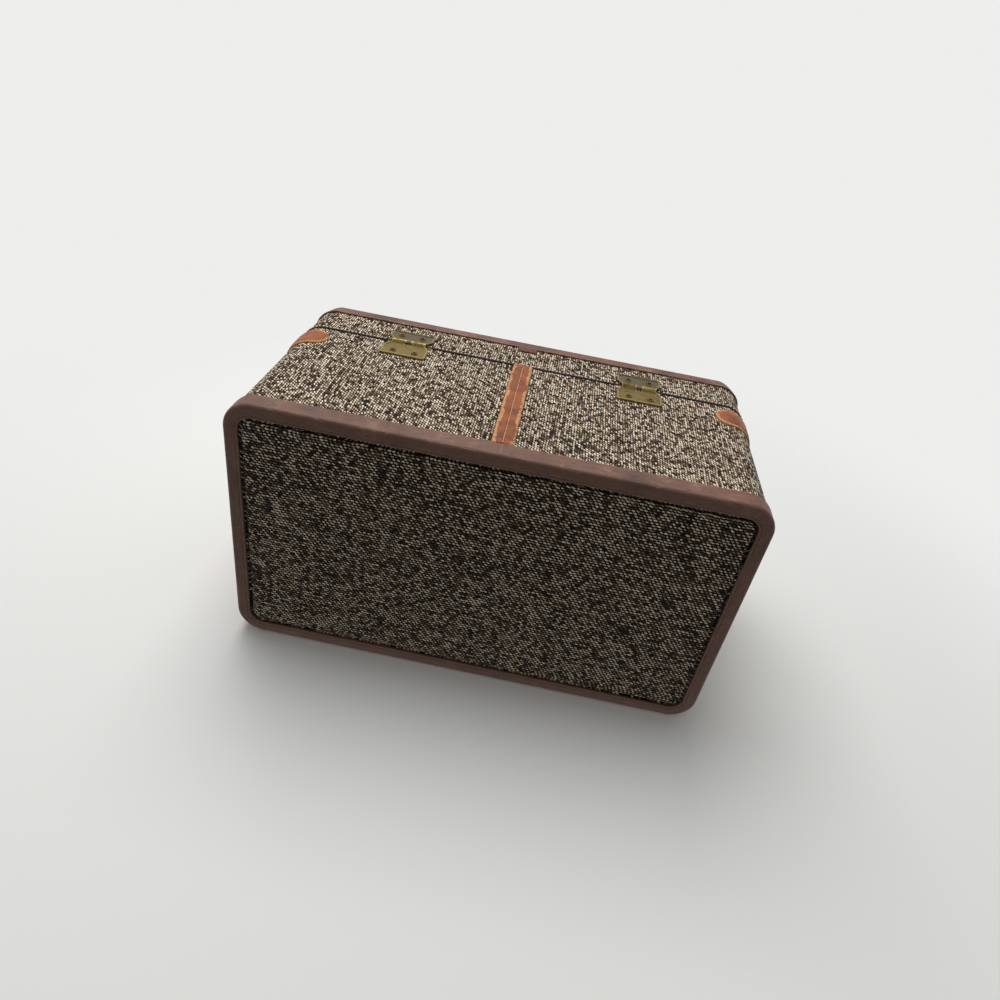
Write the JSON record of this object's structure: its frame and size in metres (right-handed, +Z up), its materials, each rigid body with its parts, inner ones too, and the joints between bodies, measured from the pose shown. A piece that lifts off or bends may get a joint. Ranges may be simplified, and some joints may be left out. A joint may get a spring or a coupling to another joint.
{
  "type": "cosmetic train case",
  "caption": "Tweed-covered train case with leather bindings, a lid on brass stop hinges, front latches, a folding top handle and a lift-out tray.",
  "frame": {"origin": "centre of the base, on the plane that the bottom binding stands on", "axes": "+X along the width, -Y is the front with the latches, +Y is the back with the hinges, +Z up through the lid"},
  "size_m": [0.3566, 0.2076, 0.1962],
  "materials": {
    "tweed": "coarse woven tweed of cream and dark yarns",
    "brown_leather": "worn dark brown leather",
    "tan_leather": "scuffed tan leather",
    "edge_cord": "whipped cord",
    "brass": "aged brass",
    "board": "plywood and fibre board",
    "lining": "gold-brown woven lining",
    "tray_cover": "gold-brown woven lining over board",
    "mirror": "silvered glass"
  },
  "bodies": {
    "case": {"body_board": "board", "body_tweed": "tweed", "bottom_panel": "tweed", "bottom_binding": "brown_leather", "body_lining": "lining", "mouth_tongue": "lining", "back_strap": "tan_leather", "corner_tab_front_left": "tan_leather", "corner_tab_front_right": "tan_leather", "corner_tab_back_left": "tan_leather", "corner_tab_back_right": "tan_leather", "hinge_body_leaf_left": "brass", "hinge_body_leaf_right": "brass", "hinge_pin_left": "brass", "hinge_pin_right": "brass", "hinge_rivets_body": "brass", "latch_base_left": "brass", "latch_base_right": "brass", "latch_rivets": "brass", "tray_ledge_left": "board", "tray_ledge_right": "board"},
    "lid": {"lid_board": "board", "lid_top_board": "board", "lid_ceiling_lining": "lining", "lid_tweed": "tweed", "lid_edge_cord": "edge_cord", "lid_panel": "tweed", "lid_binding": "brown_leather", "lid_lining": "lining", "mirror_frame": "brass", "mirror_glass": "mirror", "lid_tab": "tan_leather", "hinge_lid_leaf_left": "brass", "hinge_lid_leaf_right": "brass", "hinge_rivets_lid": "brass", "hasp_plate_left": "brass", "hasp_plate_right": "brass", "hasp_pin_left": "brass", "hasp_pin_right": "brass", "hasp_rivets": "brass", "handle_mount_left": "brass", "handle_mount_right": "brass", "handle_pin_left": "brass", "handle_pin_right": "brass", "handle_rivets": "brass"},
    "hasp_left": {"hasp_left": "brass"},
    "hasp_right": {"hasp_right": "brass"},
    "button_left": {"latch_button_left": "brass"},
    "button_right": {"latch_button_right": "brass"},
    "handle": {"handle_grip": "tan_leather", "handle_eye_left": "brass", "handle_eye_right": "brass"},
    "tray": {"tray": "tray_cover", "tray_dividers": "tray_cover", "tray_pull_left": "tan_leather", "tray_pull_right": "tan_leather"}
  },
  "joints": [
    {"name": "lid_hinge", "type": "hinge", "parent": "case", "child": "lid", "pos_m": [0, 0.0999, 0.1375], "axis": [-1, 0, 0], "range_deg": [0, 100]},
    {"name": "hasp_left_swing", "type": "hinge", "parent": "lid", "child": "hasp_left", "pos_m": [-0.0905, -0.1021, 0.1465], "axis": [-1, 0, 0], "range_deg": [0, 110]},
    {"name": "hasp_right_swing", "type": "hinge", "parent": "lid", "child": "hasp_right", "pos_m": [0.0905, -0.1021, 0.1465], "axis": [-1, 0, 0], "range_deg": [0, 110]},
    {"name": "button_left_slide", "type": "slide", "parent": "case", "child": "button_left", "axis": [-1, 0, 0], "range_m": [0, 0.0045], "stiffness_N_per_m": 150},
    {"name": "button_right_slide", "type": "slide", "parent": "case", "child": "button_right", "axis": [1, 0, 0], "range_m": [0, 0.0045], "stiffness_N_per_m": 150},
    {"name": "handle_swing", "type": "hinge", "parent": "lid", "child": "handle", "pos_m": [0, 0, 0.1886], "axis": [-1, 0, 0], "range_deg": [0, 177.2]},
    {"name": "tray_lift", "type": "slide", "parent": "case", "child": "tray", "axis": [0, 0, 1], "range_m": [0, 0.03]}
  ]
}
